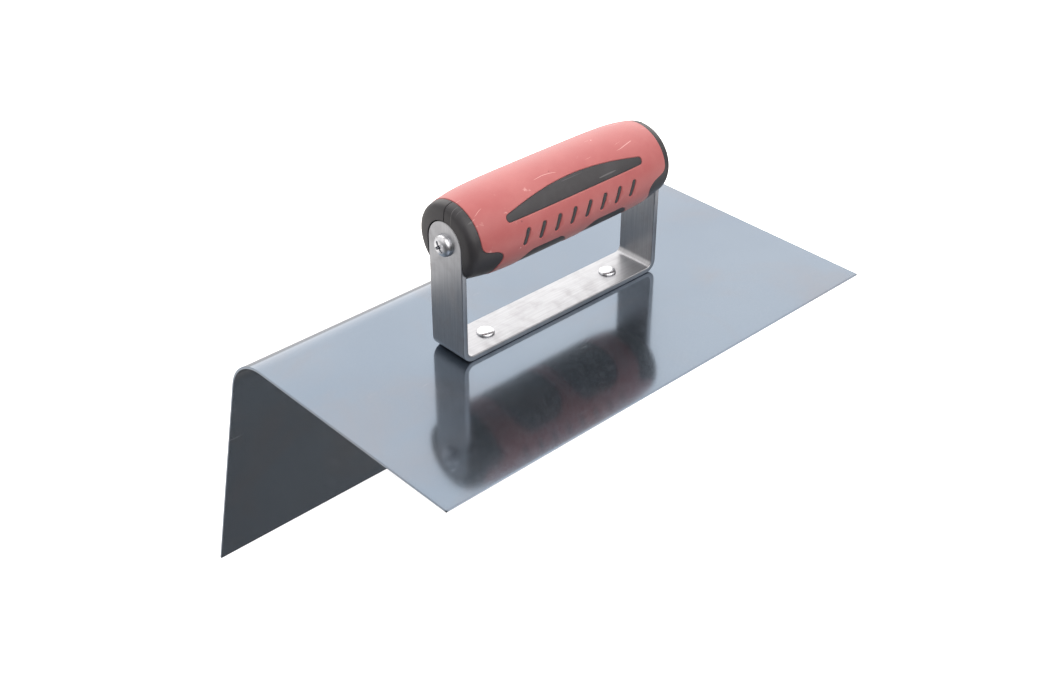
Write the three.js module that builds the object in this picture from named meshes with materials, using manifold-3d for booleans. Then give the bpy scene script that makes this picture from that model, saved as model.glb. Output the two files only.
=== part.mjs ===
// Corner trowel: a thin steel sheet bent to an obtuse rounded corner, with a strap bracket
// riveted to its upper leg and a two-shell core handle with a soft overmoulded grip.
// Millimetres, +Z up. The upper leg, called the plate, lies flat with its working face at z = 0.
// +X runs along the blade, +Y from the plate's front edge towards the bend. The origin is on the
// working face under the middle of the handle.

import * as THREE from 'three';
import { mergeVertices } from 'three/addons/utils/BufferGeometryUtils.js';
import Module from 'manifold-3d';

const wasm = await Module();
wasm.setup();

// ---- blade ----
const BLADE_LENGTH = 254;
const SHEET = 1.2;
const PLATE_FRONT_Y = -78.3;
const PLATE_FLAT = 123;
const BEND_INNER_R = 25.4;
const LEG_LEAN = THREE.MathUtils.degToRad(16);
const LEG_FLAT = 132;
const BEND_SEGMENTS = 12;

// ---- bracket: one strap bent to a U, riveted to the plate ----
const STRAP_LENGTH = 119.2;
const STRAP_WIDTH = 21;
const STRAP_THICK = 2.6;
const STRAP_BEND_R = 5.6;
const SCREW_Z = 56.6;

// ---- rivets ----
const RIVET_SPACING = 76.2;
const RIVET_HEAD_R = 4.1;
const RIVET_HEAD_HEIGHT = 1.5;
const RIVET_SHANK_R = 2.4;
const RIVET_TAIL_R = 3.6;
const RIVET_TAIL_DEPTH = 0.9;
// The head's edge from its side to its flat top, as shares of its radius and height.
const RIVET_HEAD_CURVE = [[1, 0.55], [0.9, 0.88], [0.7, 1]];

// ---- screws ----
const SCREW_HEAD_R = 5;
const SCREW_HEAD_HEIGHT = 3.2;
// The head's edge from its middle outwards, as shares of its radius and of its height below the top.
const SCREW_HEAD_CURVE = [[0, 0], [0.45, 0.04], [0.78, 0.18], [0.95, 0.4], [1, 0.65]];
const SCREW_SHANK_R = 2.1;
const SCREW_LENGTH = 21;
const SCREW_POINT = 3;
const PILOT_OVERRUN = 4;
const RECESS_SPAN = 5.2;
const RECESS_SLOT = 1.2;
const RECESS_DEPTH = 1.8;
const RECESS_TURN = THREE.MathUtils.degToRad(35);

// ---- handle ----
const GRIP_AXIS_Z = 57.6;
const SECTION_WIDE = 1.015;
const SECTION_TALL = 0.985;
const SIDE_END_X = 56.5;
const END_CORNER_R = 3;
const END_FACE_R = 14.6;
const END_DOME = 0.9;
const DOME_STEP = 0.6;
const SLEEVE_THICK = 2.2;
const CORE_WALL = 2.6;
const HOLLOW_HALF = 33;
const RIB_X = 12;
const RIB_THICK = 2.4;
const BOSS_R = 4.6;
const PEG_R = 2;
const PEG_LENGTH = 3;
const SPLINE_STEPS_FINE = 16;
const SPLINE_STEPS_COARSE = 8;

// ---- hard plastic that shows through the sleeve ----

// The right collar's inner edge in (x, z), from its top ring down round the lobe. After the first
// point come three Bezier curves, each as two control points and an end.
const COLLAR_START = [54.6, 62];
const COLLAR_CURVES = [
  [54.6, 58.5, 53, 57.6, 50, 57],
  [46, 56.3, 44, 54.8, 44, 52.2],
  [44, 50, 46.2, 48, 46.2, 43],
];
const CRESCENT_TIP_X = 38.4;
const CRESCENT_TIP_Z = 68;
const CRESCENT_TIP_R = 1.5;
const CRESCENT_CROWN_Z = 73.2;
const BAR_COUNT = 8;
const BAR_PITCH = 9;
const BAR_HALF_WIDE = 1.05;
const BAR_REACH = 2.9;
const BAR_LEAN = THREE.MathUtils.degToRad(20);
const BAR_MIDDLE_Z = 58;
const PAD_X = 18.5;
const PAD_HALF_LONG = 15;
const PAD_HALF_WIDE = 18.5;
const PAD_CORNER_R = 8;
const PAD_TOP_Z = 52;
const SIDE_WINDOW_Y = 6;

// ---- gaps between separate pieces ----
const REST_GAP = 0.05;
const FIT_GAP = 0.3;
const SEAM_HALF = 0.12;
const SCREW_HOLE_GAP = 0.6;

// ---- how far cutting shapes reach: past a surface, and round the whole handle ----
const OVERCUT = 1;
const REACH_X = 70;
const REACH_Y = 30;
const REACH_LOW_Z = 30;
const REACH_HIGH_Z = 85;

// ---- flats in a full turn, and in each arc of an outline ----
const TURN_STEPS = 20;
const BORE_STEPS = 16;
const GRIP_STEPS = 36;
const ARC_STEPS = 6;
const LEG_TOP_STEPS = 12;

// The barrel's (radius, station) from the middle of the handle to either end.
const HALF_PROFILE = [
  new THREE.Vector2(20, 0),
  new THREE.Vector2(19.95, 24),
  new THREE.Vector2(19.7, 38),
  new THREE.Vector2(19.1, 47),
  new THREE.Vector2(17.6, SIDE_END_X),
];

const FINE = { around: GRIP_STEPS, along: SPLINE_STEPS_FINE };
const COARSE = { around: TURN_STEPS, along: SPLINE_STEPS_COARSE };

const COLOURS = {
  blued_steel: { color: 0x9aa6b2, roughness: 0.18, metalness: 1 },
  strap_steel: { color: 0xb9babd, roughness: 0.35, metalness: 1 },
  bright_steel: { color: 0xd8dadc, roughness: 0.25, metalness: 1 },
  soft_grip: { color: 0xc9605e, roughness: 0.7, metalness: 0 },
  black_plastic: { color: 0x2c2d30, roughness: 0.5, metalness: 0 },
};

// ---- joining and cutting ----

// A closed three.js geometry as a solid, with its shared corners merged.
function solid(geometry) {
  const bare = geometry.clone();
  bare.deleteAttribute('normal');
  bare.deleteAttribute('uv');
  const welded = mergeVertices(bare, 1e-4);
  const corners = welded.index.array;
  const faces = [];
  for (let i = 0; i < corners.length; i += 3) {
    const [a, b, c] = corners.slice(i, i + 3);
    if (a !== b && b !== c && c !== a) faces.push(a, b, c);
  }
  return new wasm.Manifold(new wasm.Mesh({
    numProp: 3,
    vertProperties: new Float32Array(welded.attributes.position.array),
    triVerts: new Uint32Array(faces),
  }));
}

function geometryOf(body) {
  const mesh = body.getMesh();
  const geometry = new THREE.BufferGeometry();
  geometry.setAttribute('position', new THREE.BufferAttribute(mesh.vertProperties, 3));
  geometry.setIndex(new THREE.BufferAttribute(mesh.triVerts, 1));
  geometry.computeVertexNormals();
  return geometry;
}

function joined(bodies) {
  return bodies.reduce((whole, body) => whole.add(body));
}

// ---- prisms and turned shapes ----

// Which world axes an outline's own x, y and its extrusion run along.
const ALONG_X = new THREE.Matrix4().makeBasis(
  new THREE.Vector3(0, 1, 0), new THREE.Vector3(0, 0, 1), new THREE.Vector3(1, 0, 0));
const ALONG_Y = new THREE.Matrix4().makeBasis(
  new THREE.Vector3(1, 0, 0), new THREE.Vector3(0, 0, 1), new THREE.Vector3(0, -1, 0));
const ALONG_Z = new THREE.Matrix4();

// The outline extruded from one station to another on the world axis that it faces.
function prism(shape, basis, from, to, curveSegments = ARC_STEPS) {
  const geometry = new THREE.ExtrudeGeometry(shape, {
    depth: to - from,
    bevelEnabled: false,
    curveSegments,
  });
  geometry.translate(0, 0, basis === ALONG_Y ? -to : from);
  geometry.applyMatrix4(basis);
  return solid(geometry);
}

// An upright block that is taller than the handle.
function slab(x0, x1, y0, y1) {
  const geometry = new THREE.BoxGeometry(x1 - x0, y1 - y0, REACH_HIGH_Z - REACH_LOW_Z);
  geometry.translate((x0 + x1) / 2, (y0 + y1) / 2, (REACH_LOW_Z + REACH_HIGH_Z) / 2);
  return solid(geometry);
}

// A round bar with its middle at the given point, along the world axis 'x' or 'y'.
function bar(radius, length, axis, centre) {
  const geometry = new THREE.CylinderGeometry(radius, radius, length, BORE_STEPS);
  if (axis === 'x') geometry.rotateZ(-Math.PI / 2);
  geometry.translate(...centre);
  return solid(geometry);
}

// A closed profile of (radius, height) points turned about the world X axis.
function turnedAboutX(points, segments) {
  const geometry = new THREE.LatheGeometry(points, segments);
  geometry.rotateZ(-Math.PI / 2);
  return geometry;
}

function mirrored(body) {
  return body.mirror([1, 0, 0]);
}

// ---- blade ----

// Section of the bent sheet in (y, z): working faces inside the corner, drawn anticlockwise.
function bladeSection() {
  const bendY = PLATE_FRONT_Y + PLATE_FLAT;
  const bendZ = -BEND_INNER_R;
  const outerR = BEND_INNER_R + SHEET;
  const along = new THREE.Vector2(Math.sin(LEG_LEAN), -Math.cos(LEG_LEAN)).multiplyScalar(LEG_FLAT);
  const shape = new THREE.Shape();
  shape.moveTo(PLATE_FRONT_Y, SHEET);
  shape.lineTo(PLATE_FRONT_Y, 0);
  shape.lineTo(bendY, 0);
  shape.absarc(bendY, bendZ, BEND_INNER_R, Math.PI / 2, LEG_LEAN, true);
  shape.lineTo(shape.currentPoint.x + along.x, shape.currentPoint.y + along.y);
  shape.lineTo(
    bendY + outerR * Math.cos(LEG_LEAN) + along.x,
    bendZ + outerR * Math.sin(LEG_LEAN) + along.y);
  shape.lineTo(bendY + outerR * Math.cos(LEG_LEAN), bendZ + outerR * Math.sin(LEG_LEAN));
  shape.absarc(bendY, bendZ, outerR, LEG_LEAN, Math.PI / 2, false);
  return shape;
}

// The rivets' shape in (radius, z), grown for the holes that they sit in.
function rivetProfile(grow) {
  const seat = SHEET + STRAP_THICK + REST_GAP;
  return [
    new THREE.Vector2(0, -grow),
    new THREE.Vector2(RIVET_TAIL_R + grow, -grow),
    new THREE.Vector2(RIVET_TAIL_R + grow, 0),
    new THREE.Vector2(RIVET_SHANK_R + grow, RIVET_TAIL_DEPTH),
    new THREE.Vector2(RIVET_SHANK_R + grow, seat),
    new THREE.Vector2(RIVET_HEAD_R, seat),
    ...RIVET_HEAD_CURVE.map(([out, up]) => (
      new THREE.Vector2(out * RIVET_HEAD_R, seat + up * RIVET_HEAD_HEIGHT))),
    new THREE.Vector2(0, seat + RIVET_HEAD_HEIGHT),
  ];
}

function rivet(x, grow = 0) {
  const points = rivetProfile(grow);
  if (grow === 0) points.splice(0, 2, new THREE.Vector2(0, 0));
  const geometry = new THREE.LatheGeometry(points, TURN_STEPS);
  geometry.rotateX(Math.PI / 2);
  geometry.translate(x, 0, 0);
  return solid(geometry);
}

function rivetHoles() {
  return joined([-1, 1].map((side) => rivet(side * RIVET_SPACING / 2, FIT_GAP)));
}

function blade() {
  const half = BLADE_LENGTH / 2;
  return prism(bladeSection(), ALONG_X, -half, half, BEND_SEGMENTS).subtract(rivetHoles());
}

// ---- bracket ----

// The strap's front view in (x, z): a U with rounded corners, open at the top.
function bracketFront() {
  const out = STRAP_LENGTH / 2;
  const inn = out - STRAP_THICK;
  const low = SHEET + REST_GAP;
  const floor = SHEET + STRAP_THICK;
  const top = SCREW_Z + STRAP_WIDTH;
  const r = STRAP_BEND_R;
  const innerR = STRAP_BEND_R - STRAP_THICK;
  const shape = new THREE.Shape();
  shape.moveTo(-out, top);
  shape.lineTo(-out, low + r);
  shape.absarc(-out + r, low + r, r, Math.PI, 1.5 * Math.PI, false);
  shape.absarc(out - r, low + r, r, 1.5 * Math.PI, 2 * Math.PI, false);
  shape.lineTo(out, top);
  shape.lineTo(inn, top);
  shape.absarc(inn - innerR, floor + innerR, innerR, 0, -Math.PI / 2, true);
  shape.absarc(-inn + innerR, floor + innerR, innerR, -Math.PI / 2, -Math.PI, true);
  shape.lineTo(-inn, top);
  return shape;
}

// A leg's side view in (y, z): straight sides and a half-round top about the screw.
function legOutline(grow, bottom) {
  const half = STRAP_WIDTH / 2 + grow;
  const shape = new THREE.Shape();
  shape.moveTo(-half, bottom);
  shape.lineTo(half, bottom);
  shape.absarc(0, SCREW_Z, half, 0, Math.PI, false);
  return shape;
}

function bracket() {
  const half = STRAP_LENGTH / 2 + OVERCUT;
  const width = STRAP_WIDTH / 2 + OVERCUT;
  const screwHole = bar(SCREW_SHANK_R + SCREW_HOLE_GAP, 2 * half, 'x', [0, 0, SCREW_Z]);
  return prism(bracketFront(), ALONG_Y, -width, width)
    .intersect(prism(legOutline(0, 0), ALONG_X, -half, half, LEG_TOP_STEPS))
    .subtract(screwHole)
    .subtract(rivetHoles());
}

// ---- screws ----

// A pan-head self-tapping screw with a cross recess, driven along +X from the left end.
function leftScrew() {
  const seat = -STRAP_LENGTH / 2 - REST_GAP;
  const face = seat - SCREW_HEAD_HEIGHT;
  const tip = seat + SCREW_LENGTH;
  const points = [
    ...SCREW_HEAD_CURVE.map(([out, down]) => (
      new THREE.Vector2(out * SCREW_HEAD_R, face + down * SCREW_HEAD_HEIGHT))),
    new THREE.Vector2(SCREW_HEAD_R, seat),
    new THREE.Vector2(SCREW_SHANK_R, seat),
    new THREE.Vector2(SCREW_SHANK_R, tip - SCREW_POINT),
    new THREE.Vector2(0, tip),
  ];
  const geometry = turnedAboutX(points, TURN_STEPS);
  geometry.translate(0, 0, SCREW_Z);
  let screw = solid(geometry);
  for (const turn of [RECESS_TURN, RECESS_TURN + Math.PI / 2]) {
    const slot = new THREE.BoxGeometry(2 * RECESS_DEPTH, RECESS_SPAN, RECESS_SLOT);
    slot.rotateX(turn);
    slot.translate(face, 0, SCREW_Z);
    screw = screw.subtract(solid(slot));
  }
  return screw;
}

// ---- handle ----

// The handle's outer form, or the same form with its side and ends moved inwards.
function barrel(inset, detail) {
  const otherHalf = HALF_PROFILE.slice(1).map((p) => new THREE.Vector2(p.x, -p.y));
  const side = new THREE.SplineCurve([...otherHalf.reverse(), ...HALF_PROFILE]).getPoints(detail.along);
  const end = SIDE_END_X + END_CORNER_R - inset;
  const cornerR = END_CORNER_R;
  const faceR = END_FACE_R - inset;
  const cap = [
    new THREE.Vector2(0, end + END_DOME),
    new THREE.Vector2(DOME_STEP * faceR, end + (1 - DOME_STEP ** 2) * END_DOME),
    new THREE.Vector2(faceR, end),
    new THREE.Vector2(faceR + cornerR * Math.SQRT1_2, end - cornerR * (1 - Math.SQRT1_2)),
  ];
  const left = cap.map((p) => new THREE.Vector2(p.x, -p.y));
  const middle = side
    .filter((p) => Math.abs(p.y) <= end - cornerR)
    .map((p) => new THREE.Vector2(p.x - inset, p.y));
  const geometry = turnedAboutX([...left, ...middle, ...cap.reverse()], detail.around);
  geometry.scale(1, SECTION_WIDE, SECTION_TALL);
  geometry.translate(0, 0, GRIP_AXIS_Z);
  return solid(geometry);
}

// Each end's hard collar, seen from the front: a short ring above, reaching further in below,
// with a rounded lobe on the lower front and back.
function rightCollarOutline(grow) {
  const [startX, startZ] = COLLAR_START;
  const [footX] = COLLAR_CURVES.at(-1).slice(-2);
  const shape = new THREE.Shape();
  shape.moveTo(REACH_X, REACH_HIGH_Z);
  shape.lineTo(startX - grow, REACH_HIGH_Z);
  shape.lineTo(startX - grow, startZ + grow);
  for (const curve of COLLAR_CURVES) {
    shape.bezierCurveTo(...curve.map((value, i) => (i % 2 === 0 ? value - grow : value + grow)));
  }
  shape.lineTo(footX - grow, REACH_LOW_Z);
  shape.lineTo(REACH_X, REACH_LOW_Z);
  return shape;
}

// The long crescent on the upper front and back of the grip, in (x, z).
function crescentOutline(grow) {
  const tipR = CRESCENT_TIP_R + grow;
  const crown = CRESCENT_CROWN_Z + grow;
  const rise = crown - (CRESCENT_TIP_Z + tipR);
  const arcR = (CRESCENT_TIP_X ** 2 + rise ** 2) / (2 * rise);
  const sweep = Math.asin(CRESCENT_TIP_X / arcR);
  const shape = new THREE.Shape();
  shape.absarc(CRESCENT_TIP_X, CRESCENT_TIP_Z, tipR, -Math.PI / 2, Math.PI / 2, false);
  shape.absarc(0, crown - arcR, arcR, Math.PI / 2 - sweep, Math.PI / 2 + sweep, false);
  shape.absarc(-CRESCENT_TIP_X, CRESCENT_TIP_Z, tipR, Math.PI / 2, 1.5 * Math.PI, false);
  return shape;
}

// One of the plain slanted bars below the crescent, in (x, z).
function gripBarOutline(x, grow) {
  const r = BAR_HALF_WIDE + grow;
  const dx = BAR_REACH * Math.sin(BAR_LEAN);
  const dz = BAR_REACH * Math.cos(BAR_LEAN);
  const shape = new THREE.Shape();
  shape.absarc(x + dx, BAR_MIDDLE_Z + dz, r, -BAR_LEAN, Math.PI - BAR_LEAN, false);
  shape.absarc(x - dx, BAR_MIDDLE_Z - dz, r, Math.PI - BAR_LEAN, 2 * Math.PI - BAR_LEAN, false);
  return shape;
}

// One of the two pads under the grip, in (x, y): a rectangle with rounded corners.
function underPadOutline(x, grow) {
  const halfLong = PAD_HALF_LONG + grow;
  const halfWide = PAD_HALF_WIDE + grow;
  const r = PAD_CORNER_R + grow;
  const shape = new THREE.Shape();
  shape.absarc(x + halfLong - r, halfWide - r, r, 0, Math.PI / 2, false);
  shape.absarc(x - halfLong + r, halfWide - r, r, Math.PI / 2, Math.PI, false);
  shape.absarc(x - halfLong + r, -halfWide + r, r, Math.PI, 1.5 * Math.PI, false);
  shape.absarc(x + halfLong - r, -halfWide + r, r, 1.5 * Math.PI, 2 * Math.PI, false);
  return shape;
}

// Everything that shows hard plastic: cut from the sleeve, and kept full height on the core.
function windows(grow) {
  const collar = prism(rightCollarOutline(grow), ALONG_Y, -REACH_Y, REACH_Y);
  const crescent = prism(crescentOutline(grow), ALONG_Y, SIDE_WINDOW_Y, REACH_Y);
  const bars = Array.from({ length: BAR_COUNT }, (_, i) => {
    const x = (i - (BAR_COUNT - 1) / 2) * BAR_PITCH;
    return prism(gripBarOutline(x, grow), ALONG_Y, -REACH_Y, REACH_Y)
      .subtract(slab(-REACH_X, REACH_X, -SIDE_WINDOW_Y, SIDE_WINDOW_Y));
  });
  const pads = [-PAD_X, PAD_X].map((x) => (
    prism(underPadOutline(x, grow), ALONG_Z, REACH_LOW_Z, PAD_TOP_Z)));
  return joined([collar, mirrored(collar), crescent, crescent.mirror([0, 1, 0]), ...bars, ...pads]);
}

function gripSleeve() {
  return barrel(0, FINE)
    .subtract(barrel(SLEEVE_THICK, COARSE))
    .subtract(windows(FIT_GAP / 2));
}

// The hollow inside the two shells, with ribs and peg bosses left standing.
function coreHollow() {
  const room = barrel(SLEEVE_THICK + FIT_GAP + CORE_WALL, COARSE)
    .intersect(slab(-HOLLOW_HALF, HOLLOW_HALF, -REACH_Y, REACH_Y));
  const left = [-1, 1].flatMap((side) => [
    slab(side * RIB_X - RIB_THICK / 2, side * RIB_X + RIB_THICK / 2, -REACH_Y, REACH_Y),
    bar(BOSS_R, 2 * REACH_Y, 'y', [side * RIB_X, 0, GRIP_AXIS_Z]),
  ]);
  return room.subtract(joined(left));
}

// The whole core before it is split: hollow, seated on the bracket's legs, drilled for screws.
function core() {
  const raised = barrel(0, FINE).intersect(windows(-FIT_GAP / 2));
  const seatX = STRAP_LENGTH / 2 - STRAP_THICK - FIT_GAP;
  const seat = prism(legOutline(FIT_GAP, REACH_LOW_Z), ALONG_X, seatX, REACH_X, LEG_TOP_STEPS);
  const pilotLength = SCREW_LENGTH + PILOT_OVERRUN;
  const pilotMiddle = [(STRAP_LENGTH - pilotLength) / 2, 0, SCREW_Z];
  const pilot = bar(SCREW_SHANK_R + FIT_GAP, pilotLength, 'x', pilotMiddle);
  return barrel(SLEEVE_THICK + FIT_GAP, COARSE)
    .add(raised)
    .subtract(coreHollow())
    .subtract(joined([seat, mirrored(seat), pilot, mirrored(pilot)]));
}

function pegs(grow) {
  return joined([-1, 1].map((side) => (
    bar(PEG_R + grow, 2 * (PEG_LENGTH + grow), 'y', [side * RIB_X, 0, GRIP_AXIS_Z]))));
}

function frontShell(whole) {
  return whole.intersect(slab(-REACH_X, REACH_X, -REACH_Y, -SEAM_HALF)).add(pegs(0));
}

function backShell(whole) {
  return whole.intersect(slab(-REACH_X, REACH_X, SEAM_HALF, REACH_Y)).subtract(pegs(FIT_GAP));
}

// ---- assembly ----

function part(name, body, look) {
  const mesh = new THREE.Mesh(geometryOf(body), new THREE.MeshStandardMaterial(COLOURS[look]));
  mesh.name = name;
  return mesh;
}

const trowel = new THREE.Group();
const wholeCore = core();
const screw = leftScrew();

trowel.add(
  part('blade', blade(), 'blued_steel'),
  part('handle_bracket', bracket(), 'strap_steel'),
  part('rivet_left', rivet(-RIVET_SPACING / 2), 'bright_steel'),
  part('rivet_right', rivet(RIVET_SPACING / 2), 'bright_steel'),
  part('core_front_shell', frontShell(wholeCore), 'black_plastic'),
  part('core_back_shell', backShell(wholeCore), 'black_plastic'),
  part('grip_sleeve', gripSleeve(), 'soft_grip'),
  part('screw_left', screw, 'bright_steel'),
  part('screw_right', mirrored(screw), 'bright_steel'),
);

export default trowel;
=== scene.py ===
"""Looks of the corner trowel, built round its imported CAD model.

Shapes are worked out in millimetres and become metres as their points are made. +Z is up."""
import math
from bisect import bisect_left
from functools import reduce

import bmesh
import bpy
from mathutils import Matrix, Vector
from mathutils.geometry import delaunay_2d_cdt
from mathutils.kdtree import KDTree


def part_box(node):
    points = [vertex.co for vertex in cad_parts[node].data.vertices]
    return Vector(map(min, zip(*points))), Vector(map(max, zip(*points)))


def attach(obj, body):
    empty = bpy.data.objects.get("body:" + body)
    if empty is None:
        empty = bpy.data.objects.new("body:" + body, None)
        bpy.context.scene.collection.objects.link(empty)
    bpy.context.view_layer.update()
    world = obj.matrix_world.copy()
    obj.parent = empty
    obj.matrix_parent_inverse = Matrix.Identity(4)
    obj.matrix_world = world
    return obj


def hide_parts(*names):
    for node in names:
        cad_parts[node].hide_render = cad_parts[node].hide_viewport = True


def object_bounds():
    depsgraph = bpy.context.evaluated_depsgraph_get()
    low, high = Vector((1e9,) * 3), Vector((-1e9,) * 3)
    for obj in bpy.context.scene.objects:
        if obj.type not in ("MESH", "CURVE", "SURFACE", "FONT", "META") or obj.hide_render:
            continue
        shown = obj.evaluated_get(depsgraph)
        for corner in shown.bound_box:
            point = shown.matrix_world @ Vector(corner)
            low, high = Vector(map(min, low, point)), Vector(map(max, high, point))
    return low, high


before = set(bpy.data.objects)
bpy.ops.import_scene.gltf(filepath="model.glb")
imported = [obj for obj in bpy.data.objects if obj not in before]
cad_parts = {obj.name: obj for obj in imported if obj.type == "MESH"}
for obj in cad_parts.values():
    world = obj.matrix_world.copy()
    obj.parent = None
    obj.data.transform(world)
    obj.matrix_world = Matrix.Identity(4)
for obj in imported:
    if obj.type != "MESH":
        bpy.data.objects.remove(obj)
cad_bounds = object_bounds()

MM = 0.001
BODY = "root"


def span(node):
    """A CAD node's lowest and highest corners in millimetres."""
    return [[c / MM for c in corner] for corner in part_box(node)]


# ---- sizes in millimetres: boxes from the frame, and the bends, edges and gaps that boxes can't give

# Blade
BLADE_LOW, BLADE_HIGH = span("blade")
HALF_BLADE = BLADE_HIGH[0]
SHEET = BLADE_HIGH[2]
PLATE_FRONT_Y = BLADE_LOW[1]
PLATE_FLAT = 123
BEND_INSIDE_R = 25.4
BEND_MID_R = BEND_INSIDE_R + SHEET / 2
BEND_TURN = math.radians(74)
LEG_FLAT = 132
BEND_LENGTH = BEND_MID_R * BEND_TURN
SHEET_LENGTH = PLATE_FLAT + BEND_LENGTH + LEG_FLAT
SHEET_EDGE_R = 0.2

# Bracket
STRAP_LOW, STRAP_HIGH = span("handle_bracket")
STRAP_END_X = STRAP_HIGH[0]
STRAP_HALF_WIDTH = STRAP_HIGH[1]
STRAP_THICK = 2.6
STRAP_MID_R = 4.3
STRAP_EDGE_R = 0.42
STRAP_FLAT = STRAP_END_X - STRAP_THICK / 2 - STRAP_MID_R
STRAP_ARC = STRAP_MID_R * math.pi / 2
STRAP_RISE = STRAP_HIGH[2] - STRAP_LOW[2] - STRAP_THICK / 2 - STRAP_MID_R
STRAP_HALF_LENGTH = STRAP_FLAT + STRAP_ARC + STRAP_RISE
SCREW_Z = STRAP_HIGH[2] - STRAP_HALF_WIDTH
HOLE_R = 2.7

# Rivets
RIVET_X = sum(corner[0] for corner in span("rivet_right")) / 2
RIVET_TOP = span("rivet_right")[1][2]
RIVET_HEAD_R = 4.1
RIVET_HEAD_HEIGHT = 1.5
RIVET_BLUNTNESS = 3
RIVET_SHANK_R = 2.4
RIVET_TAIL_R = 3.6
RIVET_TAIL_DEPTH = 0.9
RIVET_TAIL_BEVEL = 0.1
RIVET_TAIL_BEVEL_HEIGHT = 0.08
COUNTERSINK_GAP = 0.1

# Screws
SCREW_HEAD_R = 5
SCREW_HEAD_HEIGHT = 3.2
SCREW_BLUNTNESS = 2.7
SCREW_SHANK_R = 2.1
SCREW_TIP_X = span("screw_right")[0][0]
SCREW_TIP_R = 0.3
SCREW_TAPER = 3
SCREW_GAP = 0.05
SCREW_SEAT_X = STRAP_END_X + SCREW_GAP
RECESS_HALF_SPAN = 2.6
RECESS_HALF_SLOT = 0.62
RECESS_DEPTH = 1.7
RECESS_TURN = math.radians(35)
RECESS_FILLET_R = 0.35
RECESS_EDGE_R = 0.12
RECESS_DRAW = 0.7
RECESS_FLOOR_R = 1.2
RECESS_DIMPLE = 0.25
PLUG_R = 3.2
PLUG_LOW = 0.1

# Handle: a barrel along x, turned from SIDE_PROFILE's (x, radius) points, then made a little wider and
# lower. Round it, lengths are measured at UNROLL_R. Where the core shows, it lies CORE_SINK under the skin.
SLEEVE_LOW, SLEEVE_HIGH = span("grip_sleeve")
AXIS_Z = (SLEEVE_LOW[2] + SLEEVE_HIGH[2]) / 2
WIDE = 1.015
TALL = 0.985
SIDE_PROFILE = ((0, 20), (24, 19.95), (38, 19.7), (47, 19.1), (56.5, 17.6))
END_FACE_X = 59.5
END_DOME = 0.9
END_TURN = math.radians(82.7)
UNROLL_R = 20
SLEEVE_THICK = 2.2
CORE_DEPTH = 2.5
CORE_SINK = 0.18
CORE_OVERLAP = 0.4
SEAM_HALF = 0.12
PART_GAP = 0.05
SLEEVE_EDGE_R = 0.4
CORE_EDGE_R = 0.22
SEAT_X = 56.7
SEAT_GAP = 0.3
SEAT_HALF_WIDTH = STRAP_HALF_WIDTH + SEAT_GAP
BAR_GAP = 9
BAR_XS = [side * BAR_GAP * (k + 0.5) for side in (-1, 1) for k in range(4)]
PAD_XS = (-18.5, 18.5)

# How far apart the points of a mesh may lie. The blade's first step from each of its corners is short,
# so that the rounded edges' shading doesn't spread into its flat faces. The strap's inner points reach
# STRAP_CROSS_HALF to each side of its middle line.
BLADE_STEP = 8
BLADE_BEND_STEP = 0.55
BLADE_CORNER_STEP = 0.8
STRAP_STEP = 3
STRAP_BEND_STEP = 0.36
STRAP_CROSS_STEP = 2.25
STRAP_CROSS_HALF = 9
HEAD_STEP = 0.4
SLEEVE_STEP = 1.6
TILE_STEP = 1.2
OUTLINE_STEP = 1
BARREL_STEP = 2.5
BARREL_TURN_STEP = 0.1

# Where each ring of a rounded edge lies, in edge radii from the rim. The last keeps the face flat.
RINGS = (0, 0.07, 0.25, 0.55, 1, 1.25)


# ---- flat nets: regions triangulated in (u, v) with rings along every rounded edge

class Net:
    """Points (u, v, drop), triangles between them, and the rims where walls start, as (ring, closed)."""

    def __init__(self, points, faces, rims):
        self.points, self.faces, self.rims = points, faces, rims


def rounding(share):
    """How far a rounded edge of radius 1 lies below the face at that distance from its rim."""
    gap = max(0, 1 - share)
    return 1 - math.sqrt(1 - gap * gap)


def unstretched(_u):
    return 1


def shifted(line, closed, distance, stretch=unstretched):
    """The line moved to its left. stretch(u) is the true length of one unit of v."""
    count = len(line)
    moved = []
    for i, (u, v) in enumerate(line):
        normals = []
        for a, b in ((i - 1, i), (i, i + 1)):
            if closed or (a >= 0 and b < count):
                (ua, va), (ub, vb) = line[a % count], line[b % count]
                du, dv = ub - ua, (vb - va) * stretch(u)
                length = math.hypot(du, dv)
                normals.append(Vector((-dv / length, du / length)))
        mitre = sum(normals, Vector((0, 0)))
        if len(normals) == 2:
            mitre /= 1 + normals[0].dot(normals[1])
        moved.append((u + distance * mitre.x, v + distance * mitre.y / stretch(u)))
    return moved


def wound(loop, anticlockwise=True):
    """The closed loop in the order of points that runs that way round."""
    area = sum(a[0] * b[1] - b[0] * a[1] for a, b in zip(loop, loop[1:] + loop[:1]))
    return loop if (area > 0) == anticlockwise else loop[::-1]


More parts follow.
